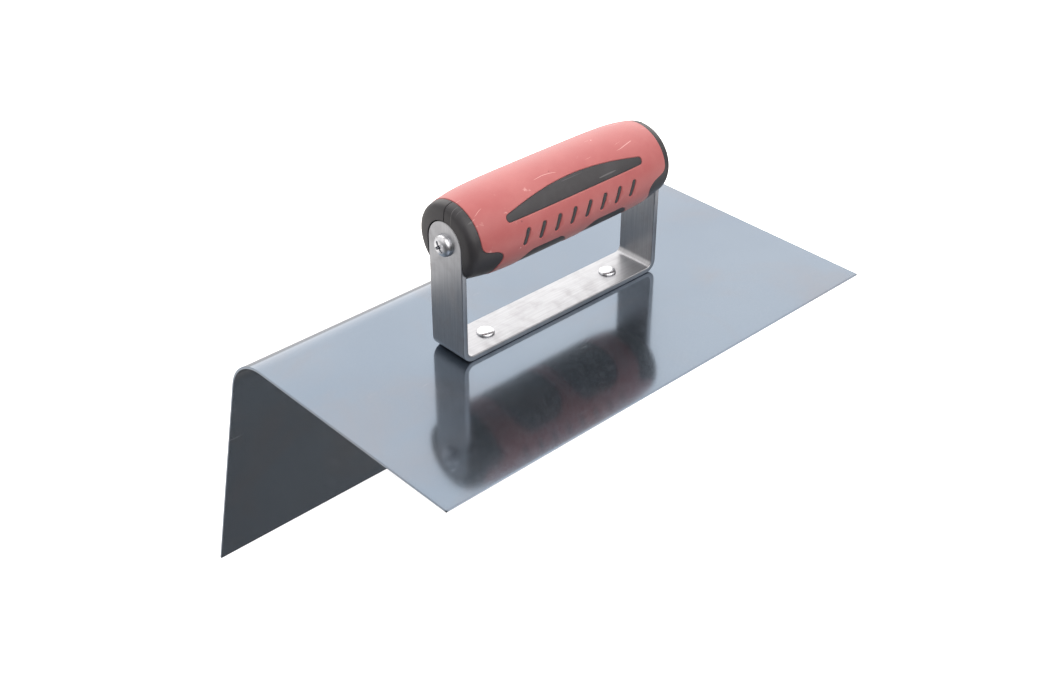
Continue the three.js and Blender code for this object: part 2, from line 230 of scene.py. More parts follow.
def make_net(edges, seeds, radius, room, stretch=unstretched, gap=0.0, links=()):
    """The region on the left of the edges, which are (line, closed), in triangles with the seeds inside.

    radius is the edges' rounding, gap how far the rim stands back from the line, and room the
    least distance of a seed from a ring. links are plain lines that close the region."""
    points, drops, segments, rims = [], [], [], []

    def add(line, drop, closed):
        numbers = list(range(len(points), len(points) + len(line)))
        points.extend(line)
        drops.extend([drop] * len(line))
        segments.extend(zip(numbers, numbers[1:]))
        if closed:
            segments.append((numbers[-1], numbers[0]))
        return numbers

    for line, closed in edges:
        for share in RINGS:
            ring = shifted(line, closed, gap + share * radius, stretch)
            numbers = add(ring, radius * rounding(share), closed)
            if share == 0:
                rims.append((numbers, closed))
    for line in links:
        add(line, 0, False)
    near = KDTree(len(points))
    for i, (u, v) in enumerate(points):
        near.insert((u, v, 0), i)
    near.balance()
    for seed in seeds:
        if near.find((*seed, 0))[2] > room:
            points.append(seed)
            drops.append(0)
    _, _, faces, origins, _, _ = delaunay_2d_cdt(
        [Vector(p) for p in points], segments, [], 0, 1e-6)
    number = {old: new for new, olds in enumerate(origins) for old in olds}
    rims = [([number[i] for i in ring], closed) for ring, closed in rims]
    outside = [set(ring) for ring, _ in rims]
    kept = [face for face in faces if not any(ring.issuperset(face) for ring in outside)]
    placed = [(*points[olds[0]], max(drops[i] for i in olds)) for olds in origins]
    return Net(placed, kept, rims)


def between(stations, value):
    """(i, share): the value lies that share of the way from station i - 1 to station i."""
    i = min(max(bisect_left(stations, value), 1), len(stations) - 1)
    return i, (value - stations[i - 1]) / (stations[i] - stations[i - 1])


def mixed_at(values, i, share):
    return values[i - 1] + (values[i] - values[i - 1]) * share


def grid(us, vs):
    return [(u, v) for u in us for v in vs]


def steps(start, stop, most):
    """Even stations from start to stop, no further apart than most."""
    count = max(1, math.ceil(abs(stop - start) / most))
    return [start + (stop - start) * i / count for i in range(count + 1)]


def circle(u, v, radius, count):
    return [
        (u + radius * math.cos(t), v + radius * math.sin(t))
        for t in (math.tau * i / count for i in range(count))]


def arc(u, v, radius, start, stop, most=8):
    """Points of an arc, its angles in degrees."""
    return [
        (u + radius * math.cos(math.radians(t)), v + radius * math.sin(math.radians(t)))
        for t in steps(start, stop, most)]


def bezier(a, b, c, d, count=10):
    """Points of the cubic curve from a to d with handles b and c."""
    return [
        tuple(
            (1 - t) ** 3 * p + 3 * (1 - t) ** 2 * t * q + 3 * (1 - t) * t * t * r + t ** 3 * s
            for p, q, r, s in zip(a, b, c, d))
        for t in (i / count for i in range(count + 1))]


# ---- closed meshes

def add_solid(mesh, net, top, bottom):
    """The net's triangles placed by top(u, v, drop), again by bottom, and walls between their rims."""
    flat_map = mesh.loops.layers.uv.verify()
    upper = [mesh.verts.new(top(*p) * MM) for p in net.points]
    lower = [mesh.verts.new(bottom(*p) * MM) for p in net.points]
    place = {}
    for vertices in (upper, lower):
        place.update({v: (p[0] * MM, p[1] * MM) for v, p in zip(vertices, net.points)})
    faces = []
    for face in net.faces:
        faces.append(mesh.faces.new([upper[i] for i in face]))
        faces.append(mesh.faces.new([lower[i] for i in reversed(face)]))
    for ring, closed in net.rims:
        for a, b in zip(ring, ring[1:] + ring[:1] if closed else ring[1:]):
            if a != b:
                faces.append(mesh.faces.new([upper[b], upper[a], lower[a], lower[b]]))
    for face in faces:
        for loop in face.loops:
            loop[flat_map].uv = place[loop.vert]


def add_lathe(mesh, profile, turn, count=48):
    """A closed profile of (radius, height) points, from axis to axis, turned and placed by turn."""
    mesh.loops.layers.uv.verify()
    rings = []
    for radius, height in profile:
        if radius == 0:
            rings.append([mesh.verts.new(turn @ Vector((0, 0, height)) * MM)] * count)
        else:
            rings.append([
                mesh.verts.new(turn @ Vector((x, y, height)) * MM)
                for x, y in circle(0, 0, radius, count)])
    for low, high in zip(rings, rings[1:]):
        for i in range(count):
            j = (i + 1) % count
            mesh.faces.new(list(dict.fromkeys((low[i], low[j], high[j], high[i]))))


def finished(mesh, name, material, slot, *nodes):
    """Turns the mesh into a smooth piece on the one body, standing for the CAD nodes."""
    bmesh.ops.remove_doubles(mesh, verts=mesh.verts, dist=1e-6)
    bmesh.ops.recalc_face_normals(mesh, faces=mesh.faces)
    for face in mesh.faces:
        face.smooth = True
    data = bpy.data.meshes.new(name)
    mesh.to_mesh(data)
    mesh.free()
    data.materials.append(material)
    piece = bpy.data.objects.new(name, data)
    bpy.context.scene.collection.objects.link(piece)
    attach(piece, BODY)
    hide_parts(*nodes)


# ---- bent sheets

def followed(lengths_and_turns, start, distance):
    """The point and heading at that distance along straight lengths and arcs."""
    point, heading = Vector(start), 0.0
    for length, turn in lengths_and_turns:
        part = min(max(distance, 0), length)
        ahead = Vector((math.cos(heading), math.sin(heading)))
        left = Vector((-ahead.y, ahead.x))
        if turn:
            radius = length / turn
            angle = turn * part / length
            point = point + ahead * radius * math.sin(angle) + left * radius * (1 - math.cos(angle))
            heading += angle
        else:
            point = point + ahead * part
        distance -= part
        if distance <= 0:
            break
    return point, heading


def countersunk(u, v):
    """The point moved outwards round a rivet hole, which widens it towards the working face."""
    for x in (-RIVET_X, RIVET_X):
        away = Vector((u - x, v + PLATE_FRONT_Y))
        if away.length < 2 * HOLE_R:
            wider = (RIVET_TAIL_R + COUNTERSINK_GAP - HOLE_R) * (2 - away.length / HOLE_R)
            u, v = u + away.normalized().x * wider, v + away.normalized().y * wider
    return u, v


def blade():
    """The bent sheet: u is the world's x, v runs along the section from the plate's front edge."""
    turns = ((PLATE_FLAT, 0), (BEND_LENGTH, -BEND_TURN), (LEG_FLAT, 0))

    def side(sign):
        def placed(u, v, drop):
            if sign < 0:
                u, v = countersunk(u, v)
            point, heading = followed(turns, (PLATE_FRONT_Y, SHEET / 2), v)
            out = sign * (SHEET / 2 - drop)
            return Vector((u, point.x - math.sin(heading) * out, point.y + math.cos(heading) * out))
        return placed

    bend_end = PLATE_FLAT + BEND_LENGTH
    last_x = HALF_BLADE - BLADE_CORNER_STEP
    stations = (
        [0, *steps(BLADE_CORNER_STEP, PLATE_FLAT, BLADE_STEP)[:-1]]
        + steps(PLATE_FLAT, bend_end, BLADE_BEND_STEP)[:-1]
        + steps(bend_end, SHEET_LENGTH - BLADE_CORNER_STEP, BLADE_STEP) + [SHEET_LENGTH])
    across = [-HALF_BLADE, *steps(-last_x, last_x, BLADE_STEP), HALF_BLADE]
    outline = (
        [(u, 0) for u in across]
        + [(HALF_BLADE, v) for v in stations[1:]]
        + [(u, SHEET_LENGTH) for u in across[-2::-1]]
        + [(-HALF_BLADE, v) for v in stations[-2:0:-1]])
    holes = [(circle(x, -PLATE_FRONT_Y, HOLE_R, 40)[::-1], True) for x in (-RIVET_X, RIVET_X)]
    seeds = grid(across, stations)
    for x in (-RIVET_X, RIVET_X):
        seeds += circle(x, -PLATE_FRONT_Y, 2 * HOLE_R, 24)
    seeds = [
        (u, v) for u, v in seeds
        if all(math.hypot(u - x, v + PLATE_FRONT_Y) > HOLE_R for x in (-RIVET_X, RIVET_X))]
    net = make_net([(outline, True), *holes], seeds, SHEET_EDGE_R, room=0.4)
    mesh = bmesh.new()
    add_solid(mesh, net, side(1), side(-1))
    return mesh


def bracket():
    """The strap: u runs along it from the middle of its base, v across it."""
    turns = ((STRAP_FLAT, 0), (STRAP_ARC, math.pi / 2), (STRAP_RISE, 0))
    start = (0, STRAP_LOW[2] + STRAP_THICK / 2)

    def side(sign):
        def placed(u, v, drop):
            point, heading = followed(turns, start, abs(u))
            out = sign * (STRAP_THICK / 2 - drop)
            x = point.x + math.sin(heading) * out
            return Vector((math.copysign(x, u), v, point.y - math.cos(heading) * out))
        return placed

    straight = STRAP_HALF_LENGTH - STRAP_HALF_WIDTH
    half = (
        steps(0, STRAP_FLAT, STRAP_STEP)[:-1]
        + steps(STRAP_FLAT, STRAP_FLAT + STRAP_ARC, STRAP_BEND_STEP)[:-1]
        + steps(STRAP_FLAT + STRAP_ARC, straight, STRAP_STEP))
    stations = [-u for u in half[:0:-1]] + half
    outline = (
        [(u, -STRAP_HALF_WIDTH) for u in stations]
        + arc(straight, 0, STRAP_HALF_WIDTH, -90, 90, 5)[1:]
        + [(u, STRAP_HALF_WIDTH) for u in stations[-2::-1]]
        + arc(-straight, 0, STRAP_HALF_WIDTH, 90, 270, 5)[1:-1])
    centres = (-straight, -RIVET_X, RIVET_X, straight)
    holes = [(circle(u, 0, HOLE_R, 36)[::-1], True) for u in centres]
    seeds = [
        (u, v) for u, v in grid(stations, steps(-STRAP_CROSS_HALF, STRAP_CROSS_HALF, STRAP_CROSS_STEP))
        if all(math.hypot(u - c, v) > HOLE_R for c in centres)]
    net = make_net([(outline, True), *holes], seeds, STRAP_EDGE_R, room=0.3)
    mesh = bmesh.new()
    add_solid(mesh, net, side(1), side(-1))
    return mesh


# ---- fasteners

def dome(radius, height, blunt, count=14):
    """(distance from the axis, height) from the crown to the rim of a blunt dome."""
    return [
        (radius * math.sin(t) ** (2 / blunt), height * math.cos(t) ** (2 / blunt))
        for t in (math.pi / 2 * i / count for i in range(count + 1))]


def rivet(x):
    """A rivet with a low head, a shank and a countersunk tail flush with the working face."""
    seat = RIVET_TOP - RIVET_HEAD_HEIGHT
    head = [(r, seat + h) for r, h in dome(RIVET_HEAD_R, RIVET_HEAD_HEIGHT, RIVET_BLUNTNESS)]
    profile = [
        (0, head[0][1]), *head[1:],
        (RIVET_SHANK_R, seat), (RIVET_SHANK_R, RIVET_TAIL_DEPTH),
        (RIVET_TAIL_R, RIVET_TAIL_BEVEL_HEIGHT), (RIVET_TAIL_R - RIVET_TAIL_BEVEL, 0), (0, 0)]
    mesh = bmesh.new()
    add_lathe(mesh, profile, Matrix.Translation((x, 0, 0)))
    return mesh


def cross(half_span, half_slot, turn):
    """A cross with rounded arm ends and filleted inner corners."""
    fillet = RECESS_FILLET_R
    quarter = (
        arc(half_span - half_slot * 0.6, 0, half_slot, -80, 80, 20)
        + arc(half_slot + fillet, half_slot + fillet, fillet, 260, 190, 20))
    loop = []
    for k in range(4):
        a = turn + k * math.pi / 2
        loop += [
            (x * math.cos(a) - y * math.sin(a), x * math.sin(a) + y * math.cos(a))
            for x, y in quarter]
    return loop


def screw(side):
    """A pan-head screw with a cross recess; its head's net is unrolled round the crown."""
    crown = dome(SCREW_HEAD_R, SCREW_HEAD_HEIGHT, SCREW_BLUNTNESS, 24)
    radii, heights = zip(*crown)
    far = [0.0]
    for (ra, ha), (rb, hb) in zip(crown, crown[1:]):
        far.append(far[-1] + math.hypot(rb - ra, hb - ha))
    outwards = Matrix.Rotation(side * math.pi / 2, 4, "Y")
    turn = Matrix.Translation((side * SCREW_SEAT_X, 0, SCREW_Z)) @ outwards

    def on_crown(u, v):
        """(distance along the crown from its middle, radius, height) at (u, v)."""
        reach = math.hypot(u, v)
        i, share = between(far, reach)
        share = min(share, 1)
        return reach, mixed_at(radii, i, share), mixed_at(heights, i, share)

    def top(u, v, drop):
        reach, radius, height = on_crown(u, v)
        return turn @ Vector((u / reach * radius, v / reach * radius, height - drop))

    def bottom(u, v, _drop):
        # The underside is drawn in near the axis, so the recess narrows as it goes down.
        reach, radius, _ = on_crown(u, v)
        radius *= RECESS_DRAW + (1 - RECESS_DRAW) * reach / far[-1]
        return turn @ Vector((u / reach * radius, v / reach * radius, 0))

    hole = wound(cross(RECESS_HALF_SPAN, RECESS_HALF_SLOT, RECESS_TURN), False)
    first_ring, last_ring = RECESS_HALF_SPAN + 0.5, far[-1] - 0.25
    seeds = []
    for reach in steps(first_ring, last_ring, HEAD_STEP):
        seeds += circle(0, 0, reach, 48)
    for k in range(4):
        between_arms = RECESS_TURN + (k + 0.5) * math.pi / 2
        seeds += [(d * math.cos(between_arms), d * math.sin(between_arms)) for d in (1.8, 2.4)]
    edges = [(circle(0, 0, far[-1], 60), True), (hole, True)]
    net = make_net(edges, seeds, RECESS_EDGE_R, room=0.12)
    mesh = bmesh.new()
    add_solid(mesh, net, top, bottom)
    floor = SCREW_HEAD_HEIGHT - RECESS_DEPTH
    tip = SCREW_TIP_X - SCREW_SEAT_X
    plug_and_shank = [
        (0, floor - RECESS_DIMPLE), (RECESS_FLOOR_R, floor), (PLUG_R, floor), (PLUG_R, PLUG_LOW),
        (SCREW_SHANK_R, PLUG_LOW), (SCREW_SHANK_R, tip + SCREW_TAPER), (SCREW_TIP_R, tip), (0, tip)]
    add_lathe(mesh, plug_and_shank, turn, 32)
    return mesh


# ---- handle: its skin is unrolled to u along the profile and v = angle x UNROLL_R from the front

class Profile:
    """The barrel's half profile from the middle of its side over the rounded end to the axis."""

    PER_SPAN = 30
    IN_CORNER = 16
    IN_FACE = 40

    def __init__(self):
        knots = [(-SIDE_PROFILE[1][0], SIDE_PROFILE[1][1]), *SIDE_PROFILE, SIDE_PROFILE[-1]]
        points = []
        for a, b, c, d in zip(knots, knots[1:], knots[2:], knots[3:]):
            for i in range(self.PER_SPAN):
                points.append(tuple(self.blended(i / self.PER_SPAN, *four) for four in zip(a, b, c, d)))
        end_x, end_r = SIDE_PROFILE[-1]
        before_x, before_r = SIDE_PROFILE[-2]
        start = math.atan2(before_r - end_r, end_x - before_x)
        corner_r = (END_FACE_X - end_x) / (math.sin(END_TURN) - math.sin(start))

        def round_corner(t):
            return (
                end_x + corner_r * (math.sin(t) - math.sin(start)),
                end_r - corner_r * (math.cos(start) - math.cos(t)))

        points += [
            round_corner(start + (END_TURN - start) * i / self.IN_CORNER)
            for i in range(self.IN_CORNER)]
        face_r = round_corner(END_TURN)[1]
        points += [
            (END_FACE_X + END_DOME * (1 - s * s), face_r * s)
            for s in (1 - i / self.IN_FACE for i in range(self.IN_FACE + 1))]
        self.xs = [x for x, _ in points]
        self.rs = [r for _, r in points]
        self.us = [0.0]
        for (xa, ra), (xb, rb) in zip(points, points[1:]):
            self.us.append(self.us[-1] + math.hypot(xb - xa, rb - ra))

    @staticmethod
    def blended(t, a, b, c, d):
        """One coordinate of an even Catmull-Rom curve between b and c."""
        v, w = (c - a) / 2, (d - b) / 2
        return (2 * b - 2 * c + v + w) * t ** 3 + (3 * c - 3 * b - 2 * v - w) * t * t + v * t + b

    def at(self, u):
        """(x, radius, normal along x, normal outwards) at u, which is negative on the left."""
        i, share = between(self.us, abs(u))
        a, b = max(i - 2, 0), min(i + 1, len(self.us) - 1)
        dx, dr = self.xs[b] - self.xs[a], self.rs[b] - self.rs[a]
        length = math.hypot(dx, dr)
        side = math.copysign(1, u)
        return (
            side * mixed_at(self.xs, i, share), mixed_at(self.rs, i, share),
            -side * dr / length, dx / length)

    def at_x(self, x):
        """The u of a point of the profile at that x."""
        return math.copysign(mixed_at(self.us, *between(self.xs, abs(x))), x)

    def at_radius(self, radius):
        """The u on the right where the profile has that radius."""
        return mixed_at(self.us, *between([-r for r in self.rs], -radius))


PROFILE = Profile()


def skin(u, v, depth):
    """The point that deep under the barrel's surface."""
    x, radius, along, outwards = PROFILE.at(u)
    angle = v / UNROLL_R
    x, radius = x - depth * along, radius - depth * outwards
    return Vector((x, -WIDE * radius * math.cos(angle), AXIS_Z + TALL * radius * math.sin(angle)))


def stretch(u):
    """The true length of one unit of v at u."""
    return PROFILE.at(u)[1] / UNROLL_R


def degrees(a):
    """An angle round the barrel from its front, as a v."""
    return math.radians(a) * UNROLL_R


def from_front(x, z):
    """(u, v) of a point seen from the front."""
    u = PROFILE.at_x(x)
    share = (z - AXIS_Z) / (TALL * PROFILE.at(u)[1])
    return u, math.asin(min(max(share, -1), 1)) * UNROLL_R


def from_below(x, y):
    """(u, v) of a point seen from below."""
    u = PROFILE.at_x(x)
    share = -y / (WIDE * PROFILE.at(u)[1])
    return u, -math.acos(min(max(share, -1), 1)) * UNROLL_R


def collar_edge():
    """The right collar's edge on the front half, from the bottom of the barrel to its top.

    Below and above it runs straight round the barrel. Between, it bulges out in a lobe."""
    low, lobe, shoulder, top = (46.2, 43), (44, 52.2), (50, 57), (54.6, 62)
    low_u, low_v = from_front(*low)
    top_u, top_v = from_front(*top)
    curves = (
        bezier(low, (low[0], 48), (lobe[0], 50), lobe)
        + bezier(lobe, (lobe[0], 54.8), (46, 56.3), shoulder)[1:]
        + bezier(shoulder, (53, 57.6), (top[0], 58.5), top)[1:])
    return (
        [(low_u, v) for v in steps(degrees(-90), low_v, OUTLINE_STEP)[:-1]]
        + [from_front(x, z) for x, z in curves]
        + [(top_u, v) for v in steps(top_v, degrees(90), OUTLINE_STEP)[1:]])


def crescent():
    """The long crescent on the upper front."""
    tip_x, tip_z, tip_r, crown = 38.4, 68, 1.5, 73.2
    rise = crown - tip_z - tip_r
    arc_r = (tip_x ** 2 + rise ** 2) / (2 * rise)
    sweep = math.degrees(math.asin(tip_x / arc_r))
    outline = (
        arc(tip_x, tip_z, tip_r, -90, 90, 15)[:-1]
        + arc(0, crown - arc_r, arc_r, 90 - sweep, 90 + sweep, 1)
        + arc(-tip_x, tip_z, tip_r, 90, 270, 15)[1:]
        + [(x, tip_z - tip_r) for x in steps(-tip_x, tip_x, OUTLINE_STEP)[1:-1]])
    return [from_front(x, z) for x, z in outline]


def slanted_bar(x):
    """One of the plain slanted bars below the crescent."""
    reach, radius, lean, middle = 2.9, 1.05, 20, AXIS_Z + 0.4
    dx, dz = reach * math.sin(math.radians(lean)), reach * math.cos(math.radians(lean))
    outline = (
        arc(x + dx, middle + dz, radius, -lean, 180 - lean, 15)
        + arc(x - dx, middle - dz, radius, 180 - lean, 360 - lean, 15))
    return [from_front(a, b) for a, b in outline]


def under_pad(x, front_only=False):
    """A pad under the grip: the whole of it, or its front half up to the seam."""
    half_long, half_wide, radius = 15, 18.5, 8
    right, left, deep = x + half_long - radius, x - half_long + radius, half_wide - radius
    front = arc(left, -deep, radius, 180, 270, 6)
    front += [(a, -half_wide) for a in steps(left, right, OUTLINE_STEP)[1:-1]]
    front += arc(right, -deep, radius, 270, 360, 6)
    side = [(x + half_long, y) for y in steps(-deep, 0, OUTLINE_STEP)[1:]]
    if front_only:
        seam = [(a, -SEAM_HALF) for a in steps(x + half_long, x - half_long, OUTLINE_STEP)]
        other_side = [(2 * x - a, y) for a, y in side[-2::-1]]
        outline = front + side[:-1] + seam + other_side
    else:
        outline = front + side
        outline += [(2 * x - a, -y) for a, y in outline[:-1]]
    return [from_below(a, y) for a, y in outline]


def within(loop, u, v):
    """Whether (u, v) is inside the closed loop."""
    inside = False
    for (ua, va), (ub, vb) in zip(loop, loop[1:] + loop[:1]):
        if (va > v) != (vb > v) and u < ua + (ub - ua) * (v - va) / (vb - va):
            inside = not inside
    return inside


def sleeve():
    """The soft sleeve, unrolled with its join along the top: from v = -270 to 90 degrees."""
    front = collar_edge()
    right = [(u, degrees(-180) - v) for u, v in front[:0:-1]] + front
    left = [(-u, v) for u, v in right[::-1]]
    windows = [crescent()] + [slanted_bar(x) for x in BAR_XS]
    windows += [[(u, degrees(-180) - v) for u, v in loop] for loop in windows]
    windows += [under_pad(x) for x in PAD_XS]
    windows = [wound(loop, False) for loop in windows]
    outline = right + left
    boxes = []
    for window in windows:
        us, vs = zip(*window)
        boxes.append((min(us), max(us), min(vs), max(vs)))

    def solid_at(u, v):
        """Whether (u, v) is on the sleeve: inside its outline and in none of its windows."""
        if not within(outline, u, v):
            return False
        return not any(
            low_u < u < high_u and low_v < v < high_v and within(window, u, v)
            for window, (low_u, high_u, low_v, high_v) in zip(windows, boxes))

    end_u = right[0][0]
    join_vs = (degrees(-270), degrees(90))
    across, around = steps(-end_u, end_u, SLEEVE_STEP), steps(*join_vs, SLEEVE_STEP)[1:-1]
    seeds = [p for p in grid(across, around) if solid_at(*p)]
    rings = [shifted(right, False, PART_GAP + share * SLEEVE_EDGE_R, stretch)[0][0] for share in RINGS]
    join = [-u for u in rings] + steps(-rings[-1], rings[-1], SLEEVE_STEP)[1:-1] + rings[::-1]
    links = [[(u, v) for u in join] for v in join_vs]
    edges = [(right, False), (left, False)] + [(loop, True) for loop in windows]
    net = make_net(edges, seeds, SLEEVE_EDGE_R, room=0.7, stretch=stretch, gap=PART_GAP, links=links)
    mesh = bmesh.new()
    add_solid(mesh, net, skin, lambda u, v, _drop: skin(u, v, SLEEVE_THICK))
    return mesh


def collar():
    """The right collar's front half: from the sleeve over the rounded end to the strap's seat."""
    low, high = degrees(-90) + SEAM_HALF, degrees(90) - SEAM_HALF
    edge = [(u, v) for u, v in collar_edge() if low < v < high]
    edge = [(edge[0][0], low)] + edge + [(edge[-1][0], high)]
    seat_u = PROFILE.at_x(SEAT_X)
    seat_r = PROFILE.at(seat_u)[1]
    turn_in = -math.degrees(math.acos(SEAT_HALF_WIDTH / (WIDE * seat_r)))
    # The seat's edge: straight beside the strap, then half round its top, as far as the seam.
    half_round = []
    for y, z in arc(0, SCREW_Z, SEAT_HALF_WIDTH, 180, 90, 5):
        a, b = -y / WIDE, (z - AXIS_Z) / TALL
        half_round.append((PROFILE.at_radius(math.hypot(a, b)), math.atan2(b, a) * UNROLL_R))
    straight_top = math.degrees(half_round[0][1] / UNROLL_R)
    straight = [
        (PROFILE.at_radius(SEAT_HALF_WIDTH / (WIDE * math.cos(math.radians(a)))), degrees(a))
        for a in steps(turn_in, straight_top, 3)[1:-1]]
    clear_of_seam = high - 0.3
    top = [(u, v) for u, v in half_round if v < clear_of_seam]
    top.append((half_round[-1][0], high))
    seat = [(seat_u, v) for v in steps(low, degrees(turn_in), OUTLINE_STEP)] + straight + top
    upper = [(u, high) for u in steps(seat[-1][0], edge[-1][0], OUTLINE_STEP)[1:-1]]
    lower = [(u, low) for u in steps(edge[0][0], seat_u, OUTLINE_STEP)[1:-1]]
    return wound(edge[::-1] + lower + seat + upper)


def add_half_barrel(mesh):
    """The plain front half of the barrel that lies under the sleeve, closed along the seam."""
    def placed(x, radius, angle):
        y = min(-WIDE * radius * math.cos(angle), -SEAM_HALF)
        return Vector((x, y, AXIS_Z + TALL * radius * math.sin(angle))) * MM

    rings = []
    for x in steps(-SEAT_X, SEAT_X, BARREL_STEP):
        radius = PROFILE.at(PROFILE.at_x(x))[1] - CORE_DEPTH
        angles = steps(-math.pi / 2, math.pi / 2, BARREL_TURN_STEP)
        rings.append([mesh.verts.new(placed(x, radius, angle)) for angle in angles])
    for a, b in zip(rings, rings[1:]):
        for i in range(len(a)):
            mesh.faces.new((a[i - 1], a[i], b[i], b[i - 1]))
    mesh.faces.new(rings[0])
    mesh.faces.new(rings[-1])


def core_half():
    """The front shell: a solid half barrel under the sleeve, and the raised parts that show."""
    mesh = bmesh.new()

    def tile(loop, side=1):
        loop = wound(loop)
        us, vs = zip(*loop)
        across, around = steps(min(us), max(us), TILE_STEP), steps(min(vs), max(vs), TILE_STEP)
        seeds = [p for p in grid(across, around) if within(loop, *p)]
        net = make_net([(loop, True)], seeds, CORE_EDGE_R, room=0.45, stretch=stretch, gap=PART_GAP)
        add_solid(
            mesh, net,
            lambda u, v, drop: skin(side * u, v, CORE_SINK + drop),
            lambda u, v, _drop: skin(side * u, v, CORE_DEPTH + CORE_OVERLAP))

    tile(crescent())
    for x in BAR_XS:
        tile(slanted_bar(x))
    for x in PAD_XS:
        tile(under_pad(x, front_only=True))
    for side in (-1, 1):
        tile(collar(), side)
    add_half_barrel(mesh)
    return mesh


# ---- materials

class Shader:
    """A Principled material and short calls for the nodes that colour it."""

    def __init__(self, name, **values):
        self.material = bpy.data.materials.new(name)
        self.material.use_nodes = True
        self.nodes = self.material.node_tree.nodes
        self.links = self.material.node_tree.links
        self.surface = self.nodes["Principled BSDF"]
        for key, value in values.items():
            socket = key.replace("_", " ").title().replace("Ior", "IOR")
            self.surface.inputs[socket].default_value = value

    def put(self, socket, value):
        if isinstance(value, bpy.types.NodeSocket):
            self.links.new(value, socket)
        else:
            socket.default_value = value

    def node(self, kind, out=0, settings=None, **inputs):
        """A new node's output. Inputs are given by name, or by number as i0, i1 and so on."""
        node = self.nodes.new("ShaderNode" + kind)
        for key, value in (settings or {}).items():
            setattr(node, key, value)
        for key, value in inputs.items():
            numbered = key[1:].isdigit()
            self.put(node.inputs[int(key[1:]) if numbered else key.replace("_", " ")], value)
        return node.outputs[out]

    def flat_map(self):
        """Where a point of a bent sheet was on the flat, in metres."""
        return self.node("UVMap")

    def place(self):
        return self.node("TexCoord", "Object")

    def turned(self, coords, scale, angle=0.0, offset=(0, 0, 0)):
        return self.node("Mapping", Vector=coords, Scale=scale, Rotation=(0, 0, angle), Location=offset)

    def noise(self, coords, scale, detail=2.0, rough=0.5, distortion=0.0):
        return self.node(
            "TexNoise", "Fac", Vector=coords, Scale=scale, Detail=detail, Roughness=rough,
            Distortion=distortion)

    def ranged(self, value, low, high):
        """0 below low, 1 above high and a smooth step between."""
        settings = {"interpolation_type": "SMOOTHSTEP"}
        return self.node("MapRange", settings=settings, i0=value, i1=low, i2=high)

    def calc(self, operation, a, b):
        return self.node("Math", settings={"operation": operation}, i0=a, i1=b)

    def plus(self, base, amount, share):
        """base + amount x share"""
        return self.calc("ADD", self.calc("MULTIPLY", amount, share), base)

    def mixed(self, share, a, b):
        return self.node("Mix", 2, settings={"data_type": "RGBA"}, i0=share, i6=a, i7=b)

    def tinted(self, colour, amount, share, tint):
        """The colour, with that share of the tint where amount is 1."""
        return self.mixed(self.calc("MULTIPLY", amount, share), colour, tint)

    def warped(self, coords, scale, reach):
        """Coordinates pushed about by up to half of reach, which bends the lines drawn on them."""
        push = self.node("TexNoise", "Color", Vector=coords, Scale=scale, Detail=1.0)
        minus, times = {"operation": "SUBTRACT"}, {"operation": "MULTIPLY_ADD"}
        centred = self.node("VectorMath", settings=minus, i0=push, i1=(0.5, 0.5, 0.5))
        return self.node("VectorMath", settings=times, i0=centred, i1=(reach, reach, reach), i2=coords)

    def bump(self, height, distance, under=None):
        """A normal bent by the height, on top of the normal under it if there is one."""
        inputs = {"Height": height, "Distance": distance, "Strength": 1.0}
        if under is not None:
            inputs["Normal"] = under
        return self.node("Bump", **inputs)

    def scratches(self, coords, angle, per_metre, rarity):
        """Sparse fine lines along one direction: 1 on a line, 0 off it."""
        length_in_widths = 40
        scale = (per_metre / length_in_widths, per_metre, 1)
        drawn = self.turned(coords, scale, angle, offset=(angle, 3 * angle, 0))
        return self.ranged(self.noise(drawn, 1.0, detail=1.0), rarity, rarity + 0.015)

    def specks(self, coords, per_metre, radius, share):
        """Small round specks in a share of the cells: 1 on a speck. The radius is in metres."""
        cell = self.nodes.new("ShaderNodeTexVoronoi")
        self.put(cell.inputs["Vector"], coords)
        cell.inputs["Scale"].default_value = per_metre
        near = self.calc("LESS_THAN", cell.outputs["Distance"], radius * per_metre)
        chosen = self.node("SeparateColor", 0, Color=cell.outputs["Color"])
        return self.calc("MULTIPLY", near, self.calc("LESS_THAN", chosen, share))

    def done(self, colour, roughness=None, normal=None):
        for name, value in (("Base Color", colour), ("Roughness", roughness), ("Normal", normal)):
            if value is not None:
                self.put(self.surface.inputs[name], value)
        return self.material


def shade(r, g, b):
    return (r, g, b, 1)


